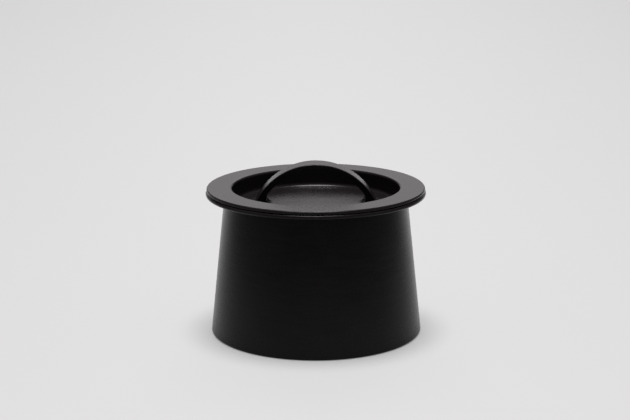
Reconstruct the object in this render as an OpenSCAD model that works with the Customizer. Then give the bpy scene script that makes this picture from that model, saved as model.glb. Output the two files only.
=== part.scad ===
// Sugar bowl with a drop-in lid, in black glazed stoneware.
// A slightly conical bowl carries a thin, wide rim flange. The lid is a flat ring of the
// same width with a shallow pan in its middle; the pan drops into the bowl's mouth and
// keeps the lid centred. A strap handle arches over the pan.
// Millimetres, +Z up, origin at the centre of the foot.

/* [Bowl] */
// Height of the face that the lid rests on
seat_height = 71.4; // [64:0.1:80]
// Outside radius of the body just under the rim flange
neck_radius = 45.2; // [42:0.1:48]
// Lean of the body wall from the vertical, in degrees
wall_lean = 6; // [4:0.1:8]
// Thickness of the body wall, measured level
wall_thickness = 2.8; // [2.6:0.1:3.4]
// Thickness of the floor over the recess under it
floor_thickness = 3.6; // [3:0.1:6]
// Radius of the fillet between floor and wall inside
floor_fillet = 6; // [3:0.5:9]

/* [Rim] */
// Outside radius of the bowl's rim flange
flange_radius = 54.4; // [51:0.1:58]
// Thickness of the bowl's rim flange
flange_thickness = 2.1; // [1.8:0.1:3]
// Wall left around the mouth at the underside of the flange
neck_wall = 1.7; // [1.5:0.1:2.2]
// Radius of the fillet under the flange
flange_fillet = 0.8; // [0.6:0.1:2.5]

/* [Foot] */
// Width of the ring that the bowl stands on
foot_ring_width = 5; // [3:0.5:8]
// Height of the recess inside the foot ring
foot_recess = 1.6; // [1:0.1:2.5]
// Radius of the rounded outer edge of the foot
foot_edge = 1.2; // [0.5:0.1:1.6]

/* [Lid] */
// Outside radius of the lid
lid_radius = 54; // [51:0.1:58]
// Thickness of the lid's flat ring
lid_thickness = 1.9; // [1.5:0.1:2.6]
// Depth of the pan below the lid's top face
pan_depth = 9.2; // [6:0.1:12]
// Lean of the pan's wall from the vertical, in degrees
pan_lean = 5.5; // [3:0.5:8]
// Thickness of the pan's wall, measured level
pan_wall = 1.8; // [1.5:0.1:2.2]
// Thickness of the pan's floor
pan_floor = 2.2; // [1.8:0.1:3]
// Radius of the soft lip round the pan
pan_lip = 1.3; // [0.6:0.1:1.4]
// Radius of the fillet between the pan's wall and floor
pan_fillet = 2.2; // [1:0.1:3]
// Gap between the pan and the bowl's mouth, measured level
mouth_gap = 0.6; // [0.4:0.1:1]

/* [Handle] */
// Radius of the outer face of the arch
arch_radius = 32.7; // [30:0.1:35]
// Height of the arch's crown above the lid's top face
arch_rise = 11.9; // [10:0.1:14]
// Width of the strap
strap_width = 10.8; // [8:0.1:14]
// Thickness of the strap
strap_thickness = 3.1; // [2.5:0.1:4]
// Radius of the strap's long edges
strap_edge = 0.6; // [0.3:0.1:1]
// Radius of the fillet inside each foot of the arch
inner_fillet = 4; // [2:0.5:5]
// Radius of the fillet outside each foot of the arch
outer_fillet = 2; // [1:0.5:3]

/* [Hidden] */
$fn = 144;

// Small overlap that keeps joined areas from sharing an edge
lap = 0.3;

// Bowl
flange_base = seat_height - flange_thickness;
foot_radius = neck_radius + flange_base * tan(wall_lean);
wall_up = [-sin(wall_lean), cos(wall_lean)];
cavity_base = foot_recess + floor_thickness;
recess_radius = foot_radius - foot_edge - foot_ring_width;

// Mouth: a short cone that widens upwards, parallel to the pan's wall
pan_up = [sin(pan_lean), cos(pan_lean)];
mouth_radius = neck_radius - neck_wall + flange_thickness * tan(pan_lean);
throat_height = (mouth_radius - foot_radius + wall_thickness - seat_height * tan(pan_lean))
    / -(tan(wall_lean) + tan(pan_lean));
throat_radius = foot_radius - wall_thickness - throat_height * tan(wall_lean);
throat_blend = 8;
mouth_edge = 0.7;

// Lid
lid_top = seat_height + lid_thickness;
pan_outside = mouth_radius - mouth_gap;
pan_inside = pan_outside - pan_wall;
pan_top_radius = pan_inside + lid_thickness * tan(pan_lean);
pan_floor_height = lid_top - pan_depth;
pan_floor_radius = pan_top_radius - pan_depth * tan(pan_lean);
pan_base_height = pan_floor_height - pan_floor;
pan_base_radius = pan_outside - (seat_height - pan_base_height) * tan(pan_lean);
pan_corner = pan_fillet + pan_wall / 2;
pan_neck_fillet = 0.4;

// Handle: its arch is centred on the Y axis line at this height
arch_centre = lid_top + arch_rise - arch_radius;
arch_inside = arch_radius - strap_thickness;
arch_floor = pan_floor_height - arch_centre;

function unit(v) = v / norm(v);

// Area between a corner and the arc that rounds it. p is the corner, and from and to are
// directions that leave it along its two edges, anticlockwise. Added to a shape it fills
// an inside corner, and cut from a shape it rounds an outside one.
module corner(p, from, to, r) {
    inward = unit(unit(from) + unit(to));
    half_angle = acos(unit(from) * unit(to)) / 2;
    centre = p + inward * r / sin(half_angle);
    reach = r / tan(half_angle);
    difference() {
        polygon([p - inward * lap, p + unit(from) * reach, centre, p + unit(to) * reach]);
        translate(centre) circle(r);
    }
}

// Half section of a round plate with a fully rounded rim
module plate_section(radius, thickness, base) {
    round_r = thickness / 2;
    translate([0, base]) square([radius - round_r, thickness]);
    translate([radius - round_r, base + round_r]) circle(round_r);
}

// Half section of the bowl's outside: conical body, foot edge and rim flange
module bowl_outline() {
    difference() {
        polygon([
            [0, 0], [foot_radius, 0], [neck_radius, flange_base],
            [neck_radius, flange_base + lap], [0, flange_base + lap]
        ]);
        corner([foot_radius, 0], wall_up, [-1, 0], foot_edge);
    }
    corner([neck_radius, flange_base], -wall_up, [1, 0], flange_fillet);
    plate_section(flange_radius, flange_thickness, flange_base);
}

// Half section of the hollow: round-cornered floor, wall, throat and flared mouth
module bowl_hollow() {
    wall_foot = foot_radius - wall_thickness - cavity_base * tan(wall_lean);
    difference() {
        polygon([
            [0, cavity_base], [wall_foot, cavity_base], [throat_radius, throat_height],
            [mouth_radius, seat_height], [mouth_radius, seat_height + lap],
            [0, seat_height + lap]
        ]);
        corner([wall_foot, cavity_base], wall_up, [-1, 0], floor_fillet);
    }
    corner([throat_radius, throat_height], -wall_up, pan_up, throat_blend);
    corner([mouth_radius, seat_height], -pan_up, [1, 0], mouth_edge);
}

// Half section of the shallow recess inside the foot ring, with a sloping side
module foot_recess_section() {
    slope = [-1, 1];
    recess_top = recess_radius - foot_recess;
    difference() {
        polygon([
            [0, -lap], [recess_radius, -lap], [recess_radius, 0],
            [recess_top, foot_recess], [0, foot_recess]
        ]);
        corner([recess_top, foot_recess], [-1, 0], -slope, foot_recess / 2);
    }
}

// Half section of the lid's outside: flat ring, and the pan that hangs from it
module lid_outline() {
    difference() {
        polygon([
            [0, pan_base_height], [pan_base_radius, pan_base_height],
            [pan_outside, seat_height], [pan_outside, seat_height + lap],
            [0, seat_height + lap]
        ]);
        corner([pan_base_radius, pan_base_height], pan_up, [-1, 0], pan_corner);
    }
    corner([pan_outside, seat_height], -pan_up, [1, 0], pan_neck_fillet);
    plate_section(lid_radius, lid_thickness, seat_height);
}

// Half section of the recess in the pan, with its soft lip and filleted floor
module pan_hollow() {
    difference() {
        polygon([
            [0, pan_floor_height], [pan_floor_radius, pan_floor_height],
            [pan_top_radius, lid_top], [pan_top_radius, lid_top + lap],
            [0, lid_top + lap]
        ]);
        corner([pan_floor_radius, pan_floor_height], pan_up, [-1, 0], pan_fillet);
    }
    corner([pan_top_radius, lid_top], -pan_up, [1, 0], pan_lip);
}

// Cross-section of the strap at the crown: x runs outwards from the arch's centre
module strap_section() {
    half_width = strap_width / 2;
    difference() {
        translate([arch_inside, -half_width]) square([strap_thickness, strap_width]);
        for (side = [0, 1]) mirror([0, side]) {
            corner([arch_radius, half_width], [-1, 0], [0, -1], strap_edge);
            corner([arch_inside, half_width], [0, -1], [1, 0], strap_edge);
        }
    }
}

// Side view of the fillets at the +X foot. Each arc is tangent to the pan's floor and to
// one face of the arch; z is measured from the arch's centre.
module foot_fillets() {
    inner_height = arch_floor + inner_fillet;
    inner_reach = arch_inside - inner_fillet;
    inner_centre = [sqrt(inner_reach ^ 2 - inner_height ^ 2), inner_height];
    outer_height = arch_floor + outer_fillet;
    outer_reach = arch_radius + outer_fillet;
    outer_centre = [sqrt(outer_reach ^ 2 - outer_height ^ 2), outer_height];
    foot_inside = sqrt(arch_inside ^ 2 - arch_floor ^ 2);
    foot_outside = sqrt(arch_radius ^ 2 - arch_floor ^ 2);
    foot_middle = [(foot_inside + foot_outside) / 2, arch_floor];
    difference() {
        polygon([
            [inner_centre.x, arch_floor], foot_middle,
            inner_centre * (arch_inside + lap) / inner_reach, inner_centre
        ]);
        translate(inner_centre) circle(inner_fillet);
    }
    difference() {
        polygon([
            [outer_centre.x, arch_floor], outer_centre,
            outer_centre * (arch_radius - lap) / outer_reach, foot_middle
        ]);
        translate(outer_centre) circle(outer_fillet);
    }
}

module bowl() {
    color("#1c1a1b") rotate_extrude() difference() {
        bowl_outline();
        bowl_hollow();
        foot_recess_section();
    }
}

module lid() {
    color("#1c1a1b") rotate_extrude() difference() {
        lid_outline();
        pan_hollow();
    }
}

module handle() {
    fillet_width = strap_width - 2 * strap_edge;
    color("#1c1a1b") translate([0, 0, arch_centre]) {
        intersection() {
            rotate([90, 0, 0]) rotate_extrude() strap_section();
            translate([-arch_radius, -strap_width, arch_floor])
                cube([2 * arch_radius, 2 * strap_width, arch_radius]);
        }
        for (turn = [0, 180])
            rotate([0, 0, turn]) translate([0, fillet_width / 2, 0]) rotate([90, 0, 0])
                linear_extrude(fillet_width) foot_fillets();
    }
}

bowl();
lid();
handle();
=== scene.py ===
import math

import bmesh
import bpy
from mathutils import Matrix, Vector, noise


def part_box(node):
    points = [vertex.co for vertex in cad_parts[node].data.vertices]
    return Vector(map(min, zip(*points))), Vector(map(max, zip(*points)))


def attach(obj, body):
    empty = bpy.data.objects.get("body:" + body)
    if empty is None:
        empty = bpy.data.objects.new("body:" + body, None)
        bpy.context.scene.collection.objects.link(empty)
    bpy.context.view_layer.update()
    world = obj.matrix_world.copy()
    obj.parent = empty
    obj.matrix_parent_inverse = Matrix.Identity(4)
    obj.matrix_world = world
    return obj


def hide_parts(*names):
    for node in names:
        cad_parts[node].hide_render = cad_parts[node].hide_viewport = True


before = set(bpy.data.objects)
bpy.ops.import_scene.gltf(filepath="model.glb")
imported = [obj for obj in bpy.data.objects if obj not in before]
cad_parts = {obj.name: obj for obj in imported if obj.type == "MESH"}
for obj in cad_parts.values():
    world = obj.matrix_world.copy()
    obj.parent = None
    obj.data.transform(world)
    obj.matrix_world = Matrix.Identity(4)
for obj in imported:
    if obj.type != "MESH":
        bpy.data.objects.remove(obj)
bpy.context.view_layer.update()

# A black glazed sugar bowl: a turned bowl, a lid with a recessed pan, and a strap handle
# luted to the pan. Metres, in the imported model's frame. Outside sizes come from the CAD
# nodes' boxes, and the section sizes below are the ones that the CAD model has.
bowl_low, bowl_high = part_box("bowl")
lid_low, lid_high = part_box("lid")
handle_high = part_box("handle")[1]

MM = 0.001

# Bowl
SEAT_Z = bowl_high.z
RIM_RADIUS = min(bowl_high.x, bowl_high.y, -bowl_low.x, -bowl_low.y)
NECK_RADIUS = 45.2 * MM
WALL_LEAN = math.radians(6)
WALL = 2.8 * MM
NECK_WALL = 1.7 * MM
CAVITY_Z = 5.2 * MM
CAVITY_FILLET = 6 * MM
RIM_THICKNESS = 2.1 * MM
RIM_FILLET = 0.8 * MM
THROAT_BLEND = 8 * MM
MOUTH_EDGE = 0.7 * MM
FOOT_EDGE = 1.2 * MM
FOOT_RING = 5 * MM
FOOT_RECESS = 1.6 * MM
RECESS_EDGE = 0.3 * MM

# Lid
LID_TOP_Z = lid_high.z
LID_RADIUS = min(lid_high.x, lid_high.y, -lid_low.x, -lid_low.y)
PAN_BASE_Z = lid_low.z
PAN_FLOOR_Z = LID_TOP_Z - 9.2 * MM
PAN_LEAN = math.radians(5.5)
PAN_WALL = 1.8 * MM
PAN_LIP = 1.3 * MM
PAN_FILLET = 2.2 * MM
PAN_CORNER = 3.1 * MM
PAN_NECK_FILLET = 0.4 * MM
MOUTH_GAP = 0.6 * MM

# Handle
ARCH_RADIUS = 32.7 * MM
ARCH_CENTRE_Z = handle_high.z - ARCH_RADIUS
STRAP_THICKNESS = 3.1 * MM
STRAP_HALF_WIDTH = handle_high.y
STRAP_EDGE = 0.6 * MM
INNER_FILLET = 4 * MM
OUTER_FILLET = 2 * MM
SIDE_FILLET = 1.8 * MM
SUNK = 0.03 * MM               # how far the strap's feet reach below the pan's floor

# Surfaces
TURNS = 360
ROUNDNESS = 0.99               # a rim's rounding, as a share of half its thickness
SHARP_RADIUS = 0.8 * MM        # a bend this tight or tighter counts as a fully exposed edge
DRIFT = 0.06 * MM              # the most that a hand-finished wall strays inwards
DRIFT_SPACING = 38 * MM
DRIFT_FADE = 10 * MM           # the drift fades to none at the axis, from this radius
CLAY_TOP = 0.3 * MM            # height up to which the foot ring is wiped bare of glaze
CLAY_WANDER = 0.15 * MM
CLAY_WANDER_SPACING = 6 * MM
CLAY_INSIDE = 0.8 * NECK_RADIUS    # nothing nearer the axis than this is bare
AT_AXIS = 1e-6
SAME_POINT = 1e-7


# ---------------------------------------------------------------- geometry

def unit(angle):
    """The flat unit vector at an angle."""
    return Vector((math.cos(angle), math.sin(angle)))


def arc(centre, start, end, steps):
    """Points after start on the shorter arc from start to end about centre."""
    a, b = start - centre, end - centre
    from_angle = math.atan2(a.y, a.x)
    sweep = (math.atan2(b.y, b.x) - from_angle + math.pi) % math.tau - math.pi
    angles = [from_angle + sweep * k / steps for k in range(1, steps + 1)]
    return [centre + unit(t) * a.length for t in angles]


def rounded(outline, steps=12):
    """The outline's points, each corner (x, z, radius) replaced by an arc tangent to its sides."""
    points = [Vector(outline[0][:2])]
    for before, (x, z, radius), after in zip(outline, outline[1:], outline[2:]):
        corner = Vector((x, z))
        to_a = (Vector(before[:2]) - corner).normalized()
        to_b = (Vector(after[:2]) - corner).normalized()
        half = to_a.angle(to_b) / 2
        centre = corner + (to_a + to_b).normalized() * radius / math.sin(half)
        start = corner + to_a * radius / math.tan(half)
        end = corner + to_b * radius / math.tan(half)
        points += [start] + arc(centre, start, end, steps)
    points.append(Vector(outline[-1][:2]))
    return points


def subdivided(points, longest=2.5 * MM, guard=0.15 * MM):
    """Adds points along the straight stretches, with one close to each end of them."""
    out = [points[0]]
    for a, b in zip(points, points[1:]):
        length = (b - a).length
        if length < SAME_POINT:
            continue
        if length > 5 * guard:
            inside = length - 2 * guard
            count = math.ceil(inside / longest)
            out += [a.lerp(b, (guard + inside * k / count) / length) for k in range(count + 1)]
        out.append(b)
    return out


def convexity(section):
    """For each point of a section, 1 where it bends sharply outwards and 0 where it's flat."""
    bend = [0.0] * len(section)
    for i in range(1, len(section) - 1):
        a, b = section[i] - section[i - 1], section[i + 1] - section[i]
        turn = math.atan2(a.x * b.y - a.y * b.x, a.dot(b))
        curvature = 2 * turn / (a.length + b.length)
        bend[i] = min(max(curvature * SHARP_RADIUS, 0), 1)
    return bend


def new_object(name, bm, edge_values):
    """An object from a bmesh, with a point attribute that marks the exposed edges."""
    bmesh.ops.recalc_face_normals(bm, faces=bm.faces)
    mesh = bpy.data.meshes.new(name)
    bm.to_mesh(mesh)
    bm.free()
    attribute = mesh.attributes.new("edge", "FLOAT", "POINT")
    attribute.data.foreach_set("value", edge_values)
    for face in mesh.polygons:
        face.use_smooth = True
    obj = bpy.data.objects.new(name, mesh)
    bpy.context.scene.collection.objects.link(obj)
    weighted = obj.modifiers.new("weighted_normals", "WEIGHTED_NORMAL")
    weighted.weight = 100
    weighted.keep_sharp = False
    return obj


def hand_drift(point, seed):
    """Slow unevenness of a surface finished by hand, from -1 to 1."""
    spot = point / DRIFT_SPACING + Vector((seed, seed * 2, seed * 3))
    return noise.noise(spot)


def lathe(name, section, seed):
    """Turns a section that starts and ends on the Z axis. The walls drift inwards a hair."""
    bm = bmesh.new()
    bends = convexity(section)
    edge_values = []
    rings = []
    for p, bend in zip(section, bends):
        on_axis = p.x < AT_AXIS
        ring = []
        for k in range(1 if on_axis else TURNS):
            angle = math.tau * k / TURNS
            around = Vector((math.cos(angle), math.sin(angle), 0))
            place = around * p.x + Vector((0, 0, p.y))
            slip = DRIFT * (0.5 + 0.5 * hand_drift(place, seed)) * min(1, p.x / DRIFT_FADE)
            ring.append(bm.verts.new(place - around * slip))
            edge_values.append(bend)
        rings.append(ring)
    for low, high in zip(rings, rings[1:]):
        for k in range(TURNS):
            after = (k + 1) % TURNS
            corners = [low[k % len(low)], low[after % len(low)],
                       high[after % len(high)], high[k % len(high)]]
            face = list(dict.fromkeys(corners))
            if len(face) > 2:
                bm.faces.new(face)
    return new_object(name, bm, edge_values)


def bowl_section():
    """Half section of the bowl, from the middle of its underside round to its floor."""
    lean = math.tan(WALL_LEAN)
    rim_base = SEAT_Z - RIM_THICKNESS
    foot = NECK_RADIUS + rim_base * lean
    recess = foot - FOOT_EDGE - FOOT_RING
    mouth = NECK_RADIUS - NECK_WALL + RIM_THICKNESS * math.tan(PAN_LEAN)
    throat_z = (foot - WALL - mouth + SEAT_Z * math.tan(PAN_LEAN)) / (lean + math.tan(PAN_LEAN))
    bullnose = RIM_THICKNESS / 2 * ROUNDNESS
    return subdivided(rounded([
        (0, FOOT_RECESS, 0),
        (recess - FOOT_RECESS, FOOT_RECESS, FOOT_RECESS / 2),
        (recess, 0, RECESS_EDGE),
        (foot, 0, FOOT_EDGE),
        (NECK_RADIUS, rim_base, RIM_FILLET),
        (RIM_RADIUS, rim_base, bullnose),
        (RIM_RADIUS, SEAT_Z, bullnose),
        (mouth, SEAT_Z, MOUTH_EDGE),
        (foot - WALL - throat_z * lean, throat_z, THROAT_BLEND),
        (foot - WALL - CAVITY_Z * lean, CAVITY_Z, CAVITY_FILLET),
        (0, CAVITY_Z, 0),
    ]))


def lid_section():
    """Half section of the lid, from the middle of its underside round to the pan's floor."""
    lean = math.tan(PAN_LEAN)
    mouth = NECK_RADIUS - NECK_WALL + RIM_THICKNESS * lean
    outside = mouth - MOUTH_GAP
    inside = outside - PAN_WALL
    bullnose = (LID_TOP_Z - SEAT_Z) / 2 * ROUNDNESS
    return subdivided(rounded([
        (0, PAN_BASE_Z, 0),
        (outside - (SEAT_Z - PAN_BASE_Z) * lean, PAN_BASE_Z, PAN_CORNER),
        (outside, SEAT_Z, PAN_NECK_FILLET),
        (LID_RADIUS, SEAT_Z, bullnose),
        (LID_RADIUS, LID_TOP_Z, bullnose),
        (inside + (LID_TOP_Z - SEAT_Z) * lean, LID_TOP_Z, PAN_LIP),
        (inside - (SEAT_Z - PAN_FLOOR_Z) * lean, PAN_FLOOR_Z, PAN_FILLET),
        (0, PAN_FLOOR_Z, 0),
    ]))


def leg_curve(radius, fillet, side, floor, arc_steps=90, fillet_steps=24):
    """One face of the +X leg, from the crown down its arch and fillet to the pan's floor."""
    painted_floor_light = radius + side * fillet
    height = floor + fillet
    centre = Vector((math.sqrt(painted_floor_light ** 2 - height ** 2), height))
    crown = Vector((0, radius))
    join = centre * radius / painted_floor_light
    foot = Vector((centre.x, floor))
    arch = arc(Vector((0, 0)), crown, join, arc_steps)
    return [crown] + arch + arc(centre, join, foot, fillet_steps)


def strap_ring(edge, span, corner_steps=8, side_steps=6, width_steps=14):
    """(across, y, edge weight) round the strap's section; across runs from 0 inside to 1."""
    half = STRAP_HALF_WIDTH
    ring = []
    signs = ((1, 1), (0, 1), (0, -1), (1, -1))
    for quarter in range(4):
        corner = []
        for index in (quarter, (quarter + 1) % 4):
            outside, side = signs[index]
            centre = Vector((outside * span + (1 - 2 * outside) * edge, side * (half - edge)))
            corner.append(centre)
        angles = [math.pi / 2 * (quarter + k / corner_steps) for k in range(corner_steps + 1)]
        spots = [corner[0] + unit(t) * edge for t in angles]
        for k, spot in enumerate(spots):
            exposed = 1.0 if 0 < k < corner_steps else 0.5
            ring.append((spot.x / span, spot.y, exposed))
        start = spots[-1]
        goal = corner[1] + unit(angles[-1]) * edge
        steps = width_steps if quarter % 2 else side_steps
        guard = min(0.12 * MM / (goal - start).length, 0.2)
        fractions = [guard + (1 - 2 * guard) * k / steps for k in range(steps + 1)]
        ring += [(start.lerp(goal, t).x / span, start.lerp(goal, t).y, 0.0) for t in fractions]
    return ring


def handle():
    """The strap: rings that follow the arch and flare into soft fillets at both feet."""
    floor = PAN_FLOOR_Z - ARCH_CENTRE_Z
    inner = leg_curve(ARCH_RADIUS - STRAP_THICKNESS, INNER_FILLET, -1, floor)
    outer = leg_curve(ARCH_RADIUS, OUTER_FILLET, 1, floor)
    legs = list(zip(inner, outer))
    mirror = Vector((-1, 1))
    stations = [(a * mirror, b * mirror) for a, b in reversed(legs)] + legs[1:]
    bm = bmesh.new()
    rings = []
    edge_values = []
    for a, b in stations:
        ring = []
        for across, y, edge in strap_ring(STRAP_EDGE, (b - a).length):
            p = a.lerp(b, across)
            low = SIDE_FILLET - min(max(p.y - floor, 0), SIDE_FILLET)
            flare = SIDE_FILLET - math.sqrt(SIDE_FILLET ** 2 - low ** 2)
            widened = y * (1 + flare / STRAP_HALF_WIDTH)
            ring.append(bm.verts.new((p.x, widened, ARCH_CENTRE_Z + p.y)))
            edge_values.append(edge * (1 - low / SIDE_FILLET))
        rings.append(ring)
    for low, high in zip(rings, rings[1:]):
        for k in range(len(low)):
            after = (k + 1) % len(low)
            bm.faces.new((low[k], low[after], high[after], high[k]))
    for ring in (rings[0], rings[-1]):
        for v in ring:
            v.co.z -= SUNK
        bm.faces.new(ring)
    return new_object("strap_handle", bm, edge_values)


# ---------------------------------------------------------------- shader nodes

def node(tree, kind, **inputs):
    """A shader node, with settings for its properties and values for its inputs."""
    made = tree.nodes.new(kind)
    for key, value in inputs.items():
        if hasattr(made, key):
            setattr(made, key, value)
        else:
            made.inputs[key.replace("_", " ")].default_value = value
    return made


def feed(tree, value, socket):
    """Sets a socket to a plain value, or links another node's output to it."""
    if isinstance(value, bpy.types.NodeSocket):
        tree.links.new(value, socket)
    else:
        socket.default_value = value


def noise_texture(tree, coordinates, scale, detail=2.0, roughness=0.5):
    """Noise about 0.5, with its scale in cycles to the metre."""
    made = node(tree, "ShaderNodeTexNoise", Scale=scale, Detail=detail, Roughness=roughness)
    feed(tree, coordinates, made.inputs["Vector"])
    return made.outputs["Fac"]


def remap(tree, value, low, high, to_low, to_high):
    """The value, with low to high carried onto to_low to to_high and held at those ends."""
    made = node(tree, "ShaderNodeMapRange", From_Min=low, From_Max=high,
                To_Min=to_low, To_Max=to_high)
    feed(tree, value, made.inputs["Value"])
    return made.outputs["Result"]


def ramp(tree, value, low, high):
    """A smooth step from 0 at low to 1 at high."""
    made = node(tree, "ShaderNodeMapRange", interpolation_type="SMOOTHSTEP",
                From_Min=low, From_Max=high)
    feed(tree, value, made.inputs["Value"])
    return made.outputs["Result"]


def mixed_colour(tree, factor, first, second):
    """The first colour at factor 0 and the second at 1. Inputs 6 and 7 are the colour ones."""
    made = node(tree, "ShaderNodeMix", data_type="RGBA")
    feed(tree, first, made.inputs[6])
    feed(tree, second, made.inputs[7])
    feed(tree, factor, made.inputs[0])
    return made.outputs[2]


def math_node(tree, operation, a, b):
    """The result of one operation on two values."""
    made = node(tree, "ShaderNodeMath", operation=operation)
    feed(tree, a, made.inputs[0])
    feed(tree, b, made.inputs[1])
    return made.outputs[0]


def product(tree, first, *others):
    """All the values multiplied together."""
    for other in others:
        first = math_node(tree, "MULTIPLY", first, other)
    return first


def stretched(tree, vector, factors):
    """The vector with each of its parts multiplied by a factor."""
    made = node(tree, "ShaderNodeVectorMath", operation="MULTIPLY")
    feed(tree, factors, made.inputs[1])
    feed(tree, vector, made.inputs[0])
    return made.outputs["Vector"]


def length_of(tree, vector):
    """The vector's length."""
    made = node(tree, "ShaderNodeVectorMath", operation="LENGTH")
    feed(tree, vector, made.inputs[0])
    return made.outputs["Value"]


def split_vector(tree, vector):
    """The vector's X, Y and Z."""
    made = tree.nodes.new("ShaderNodeSeparateXYZ")
    feed(tree, vector, made.inputs[0])
    return made.outputs


def bumped(tree, height, strength, distance, normal=None):
    """A surface normal tilted by the slope of the height, on top of another normal if given."""
    made = node(tree, "ShaderNodeBump", Strength=strength, Distance=distance)
    feed(tree, height, made.inputs["Height"])
    if normal is not None:
        feed(tree, normal, made.inputs["Normal"])
    return made.outputs["Normal"]


def start_material(name):
    """A new material, its node tree, its shader and its object coordinates."""
    material = bpy.data.materials.new(name)
    material.use_nodes = True
    tree = material.node_tree
    shader = tree.nodes["Principled BSDF"]
    coordinates = tree.nodes.new("ShaderNodeTexCoord").outputs["Object"]
    return material, tree, shader, coordinates


# ---------------------------------------------------------------- materials

GLAZE_IOR = 1.205
GLAZE_ROUGHNESS = 0.27
GLAZE_DEEP = (0.0050, 0.0040, 0.0045, 1)
GLAZE_PALE = (0.0072, 0.0060, 0.0066, 1)
GLAZE_EDGE = (0.0085, 0.0068, 0.0068, 1)
SATIN_SPREAD = 0.025           # how far clouding shifts the roughness, either way
GRAIN_SPREAD = 0.015           # how far specks shift it
CLOUD_SCALE = 45
SPECK_SCALE = 900
SWELL_SCALE = 60
SWELL_STRETCH = (1, 1, 4)      # the swell lies in low level bands, as turning leaves it
SWELL_STRENGTH = 0.30
SWELL_HEIGHT = 0.3 * MM
PEEL_SCALE = 420
PEEL_STRENGTH = 0.08
PEEL_HEIGHT = 0.12 * MM

CLAY_IOR = 1.4
CLAY_DARK = (0.022, 0.019, 0.018, 1)
CLAY_PALE = (0.06, 0.052, 0.047, 1)
CLAY_RUBBED = (0.075, 0.066, 0.06, 1)
CLAY_ROUGHNESS = (0.75, 0.95)
CLAY_CLOUD_SCALE = 90
GRIT_SCALE = 1500
GRIT_STRENGTH = 0.5
GRIT_HEIGHT = 0.1 * MM

MIDDLE = (0.3, 0.7)            # the range that most of a noise texture's values fall in


def black_glaze():
    """Satin black glaze: faint clouding, a fine orange peel, and thinner on exposed edges."""
    material, tree, shader, coordinates = start_material("black_glaze")
    shader.inputs["IOR"].default_value = GLAZE_IOR
    clouds = noise_texture(tree, coordinates, CLOUD_SCALE, detail=4, roughness=0.6)
    specks = noise_texture(tree, coordinates, SPECK_SCALE)
    body = mixed_colour(tree, remap(tree, clouds, 0.35, 0.65, 0, 1), GLAZE_DEEP, GLAZE_PALE)
    edge = node(tree, "ShaderNodeAttribute", attribute_name="edge").outputs["Fac"]
    worn = math_node(tree, "MULTIPLY", edge, remap(tree, clouds, *MIDDLE, 0.5, 1.0))
    feed(tree, mixed_colour(tree, worn, body, GLAZE_EDGE), shader.inputs["Base Color"])
    smooth, rough = GLAZE_ROUGHNESS - SATIN_SPREAD, GLAZE_ROUGHNESS + SATIN_SPREAD
    satin = remap(tree, clouds, *MIDDLE, smooth, rough)
    grain = remap(tree, specks, *MIDDLE, -GRAIN_SPREAD, GRAIN_SPREAD)
    feed(tree, math_node(tree, "ADD", satin, grain), shader.inputs["Roughness"])
    swell = noise_texture(tree, stretched(tree, coordinates, SWELL_STRETCH), SWELL_SCALE)
    peel = noise_texture(tree, coordinates, PEEL_SCALE)
    bands = bumped(tree, swell, SWELL_STRENGTH, SWELL_HEIGHT)
    surface = bumped(tree, peel, PEEL_STRENGTH, PEEL_HEIGHT, bands)
    feed(tree, surface, shader.inputs["Normal"])
    return material


def bare_clay():
    """Unglazed dark stoneware of the foot ring: matt, gritty and a little paler."""
    material, tree, shader, coordinates = start_material("bare_clay")
    shader.inputs["IOR"].default_value = CLAY_IOR
    grit = noise_texture(tree, coordinates, GRIT_SCALE, detail=3, roughness=0.7)
    clouds = noise_texture(tree, coordinates, CLAY_CLOUD_SCALE, detail=3)
    speckle = mixed_colour(tree, remap(tree, grit, 0.4, 0.7, 0, 1), CLAY_DARK, CLAY_PALE)
    rubbing = remap(tree, clouds, 0.45, 0.75, 0, 0.6)
    feed(tree, mixed_colour(tree, rubbing, speckle, CLAY_RUBBED), shader.inputs["Base Color"])
    feed(tree, remap(tree, grit, *MIDDLE, *CLAY_ROUGHNESS), shader.inputs["Roughness"])
    feed(tree, bumped(tree, grit, GRIT_STRENGTH, GRIT_HEIGHT), shader.inputs["Normal"])
    return material


# ---------------------------------------------------------------- surroundings

# What the camera sees of the backdrop. The light comes from the values after it.
PALE = 0.78
WHITE = (1, 1, 1, 1)

# What lights the object. Each pair is where a part of the light starts and where it's full,
# in the X, Y or Z of the direction it comes from.
LIGHT_TINT = (1.0, 0.965, 0.98, 1)
DIM_WALLS = 0.04
SKY_LIGHT = 0.45
SKY_RISE = (0.3, 0.8)
BACKDROP = 0.72
BEHIND_SPREAD = (0.60, 0.32)   # X as a share of Y
BEHIND_START = (0.1, 0.3)
BACKDROP_TOP = (0.8, 0.5)
PANEL = 2.1
PANEL_BASE = (0.25, 0.45)
PANEL_TOP = (0.9, 0.7)
CEILING_LAMP = 36.0
LAMP_EDGE = (0.965, 0.985)

# Floor
FLOOR_HALF = 40.0
FLOOR_ALBEDO = 0.24
# The floor's glow is painted light that lifts the shadows on it.
FLOOR_GLOW = 0.24
GLOW_TINT = (0.965, 1.0, 0.99, 1)
# Painted light and shade in the floor's colour and glow, for light and reflections only: further
# from the object it is darker beside and in front of it, and brighter behind it.
FALL_START = (0.10, 0.50)      # distances over which the floor's light changes
FALL_HEADING = (0.35, 0.9)     # from beside the object to behind it
FALL_LOSS = (0.55, -0.65)      # light lost beside it, and gained behind it
# A painted pool of light on the floor, seen by the camera: paler near the object, darker further
# off.
POOL_SHAPE = (1, 0.15, 0)
POOL_EDGE = (0.03, 0.45)
PAINTED_POOL_LEVEL = (1.01, 0.88)      # how pale the camera sees the floor, near and far


def pale_to_camera(tree, value, plain):
    """The value for light and reflections, and the plain one where the camera looks at it."""
    mix = node(tree, "ShaderNodeMix", data_type="FLOAT")
    feed(tree, node(tree, "ShaderNodeLightPath").outputs["Is Camera Ray"], mix.inputs[0])
    feed(tree, value, mix.inputs[2])
    feed(tree, plain, mix.inputs[3])
    return mix.outputs[0]


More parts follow.
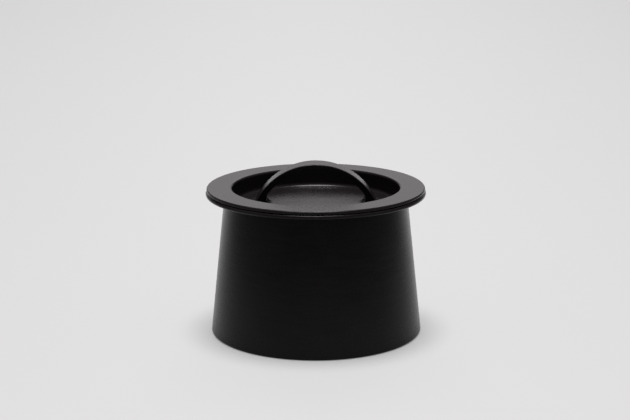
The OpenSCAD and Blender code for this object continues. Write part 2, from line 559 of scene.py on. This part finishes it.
def studio_light():
    """A pale studio: bright behind the object, dim to its sides and front, lamp overhead."""
    world = bpy.data.worlds.new("studio")
    bpy.context.scene.world = world
    world.use_nodes = True
    tree = world.node_tree
    direction = split_vector(tree, tree.nodes.new("ShaderNodeTexCoord").outputs["Generated"])
    height = direction["Z"]
    aside = math_node(tree, "ABSOLUTE", direction["X"], 0.0)
    spread = math_node(tree, "DIVIDE", aside, direction["Y"])
    facing = ramp(tree, direction["Y"], *BEHIND_START)
    behind = product(tree, ramp(tree, spread, *BEHIND_SPREAD), facing)
    backdrop = product(tree, behind, ramp(tree, height, *BACKDROP_TOP), BACKDROP)
    band = product(tree, ramp(tree, height, *PANEL_BASE), ramp(tree, height, *PANEL_TOP))
    panel = product(tree, behind, band, PANEL)
    lamp = product(tree, ramp(tree, height, *LAMP_EDGE), CEILING_LAMP)
    sky = remap(tree, height, *SKY_RISE, DIM_WALLS, SKY_LIGHT)
    soft = math_node(tree, "ADD", math_node(tree, "MAXIMUM", sky, backdrop), panel)
    lit = math_node(tree, "ADD", soft, lamp)
    background = tree.nodes["Background"]
    feed(tree, pale_to_camera(tree, lit, PALE), background.inputs["Strength"])
    seen = node(tree, "ShaderNodeLightPath").outputs["Is Camera Ray"]
    feed(tree, mixed_colour(tree, seen, LIGHT_TINT, WHITE), background.inputs["Color"])


def studio_floor():
    """A matt floor that glows a little, a painted glow that lifts its shadows. To the camera it
    looks pale and nearly even, with a painted pool of light near the object; for light and
    reflections it carries painted shade beside and in front of the object and painted light behind
    it.
    """
    mesh = bpy.data.meshes.new("floor")
    signs = ((-1, -1), (1, -1), (1, 1), (-1, 1))
    corners = [(x * FLOOR_HALF, y * FLOOR_HALF, 0) for x, y in signs]
    mesh.from_pydata(corners, [], [(0, 1, 2, 3)])
    floor = bpy.data.objects.new("floor", mesh)
    bpy.context.scene.collection.objects.link(floor)
    material, tree, shader, place = start_material("studio_floor")
    shader.inputs["Roughness"].default_value = 1.0
    shader.inputs["Specular IOR Level"].default_value = 0.0
    # Painted shade beside and in front of the object, and painted light behind it, in the floor's
    # colour and glow for light and reflections.
    away = length_of(tree, place)
    far = ramp(tree, away, *FALL_START)
    heading = math_node(tree, "DIVIDE", split_vector(tree, place)["Y"], away)
    painted_floor_loss = product(tree, far, remap(tree, heading, *FALL_HEADING, *FALL_LOSS))
    painted_floor_light = math_node(tree, "SUBTRACT", 1.0, painted_floor_loss)
    # Painted pool of light: the camera sees the floor's colour and glow fade outwards from the
    # object.
    pool = length_of(tree, stretched(tree, place, POOL_SHAPE))
    painted_light_pool = remap(tree, pool, *POOL_EDGE, *PAINTED_POOL_LEVEL)
    shade = pale_to_camera(tree, painted_floor_light, painted_light_pool)
    feed(tree, product(tree, shade, FLOOR_ALBEDO), shader.inputs["Base Color"])
    shader.inputs["Emission Color"].default_value = GLOW_TINT
    feed(tree, product(tree, shade, FLOOR_GLOW), shader.inputs["Emission Strength"])
    mesh.materials.append(material)


# A short telephoto lens at the front, looking down on the lid
CAMERA_PLACE = (0, -0.8213, 0.2600)
CAMERA_PITCH = 0.2376
CAMERA_ROLL = -0.0035
CAMERA_SWING = -0.0005
LENS = 97.53
SENSOR_WIDTH = 36
CLIP_END = 100


def camera():
    """The scene's camera, turned by its pitch, roll and slight swing to one side."""
    data = bpy.data.cameras.new("camera")
    data.sensor_width = SENSOR_WIDTH
    data.lens = LENS
    data.clip_end = CLIP_END
    view = bpy.data.objects.new("camera", data)
    forward = Vector((CAMERA_SWING, math.cos(CAMERA_PITCH), -math.sin(CAMERA_PITCH)))
    upright = Vector((0, math.sin(CAMERA_PITCH), math.cos(CAMERA_PITCH)))
    right = Vector((math.cos(CAMERA_ROLL), 0, 0)) + upright * math.sin(CAMERA_ROLL)
    back = -forward.normalized()
    up = back.cross(right.normalized()).normalized()
    across = up.cross(back)
    turn = Matrix((across, up, back)).transposed().to_4x4()
    view.matrix_world = Matrix.Translation(CAMERA_PLACE) @ turn
    bpy.context.scene.collection.objects.link(view)
    bpy.context.scene.camera = view


# ---------------------------------------------------------------- assembly

camera()
studio_light()
studio_floor()
bpy.context.scene.view_settings.view_transform = "Standard"

glaze = black_glaze()
clay = bare_clay()

bowl = lathe("turned_bowl", bowl_section(), seed=1)
bowl.data.materials.append(glaze)
bowl.data.materials.append(clay)
for face in bowl.data.polygons:
    wander = CLAY_WANDER * noise.noise(face.center / CLAY_WANDER_SPACING)
    if face.center.z < CLAY_TOP + wander and face.center.xy.length > CLAY_INSIDE:
        face.material_index = 1

lid = lathe("pan_lid", lid_section(), seed=2)
lid.data.materials.append(glaze)

grip = handle()
grip.data.materials.append(glaze)

for piece, body, cad_node in ((bowl, "bowl", "bowl"), (lid, "lid", "lid"), (grip, "lid", "handle")):
    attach(piece, body)
    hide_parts(cad_node)
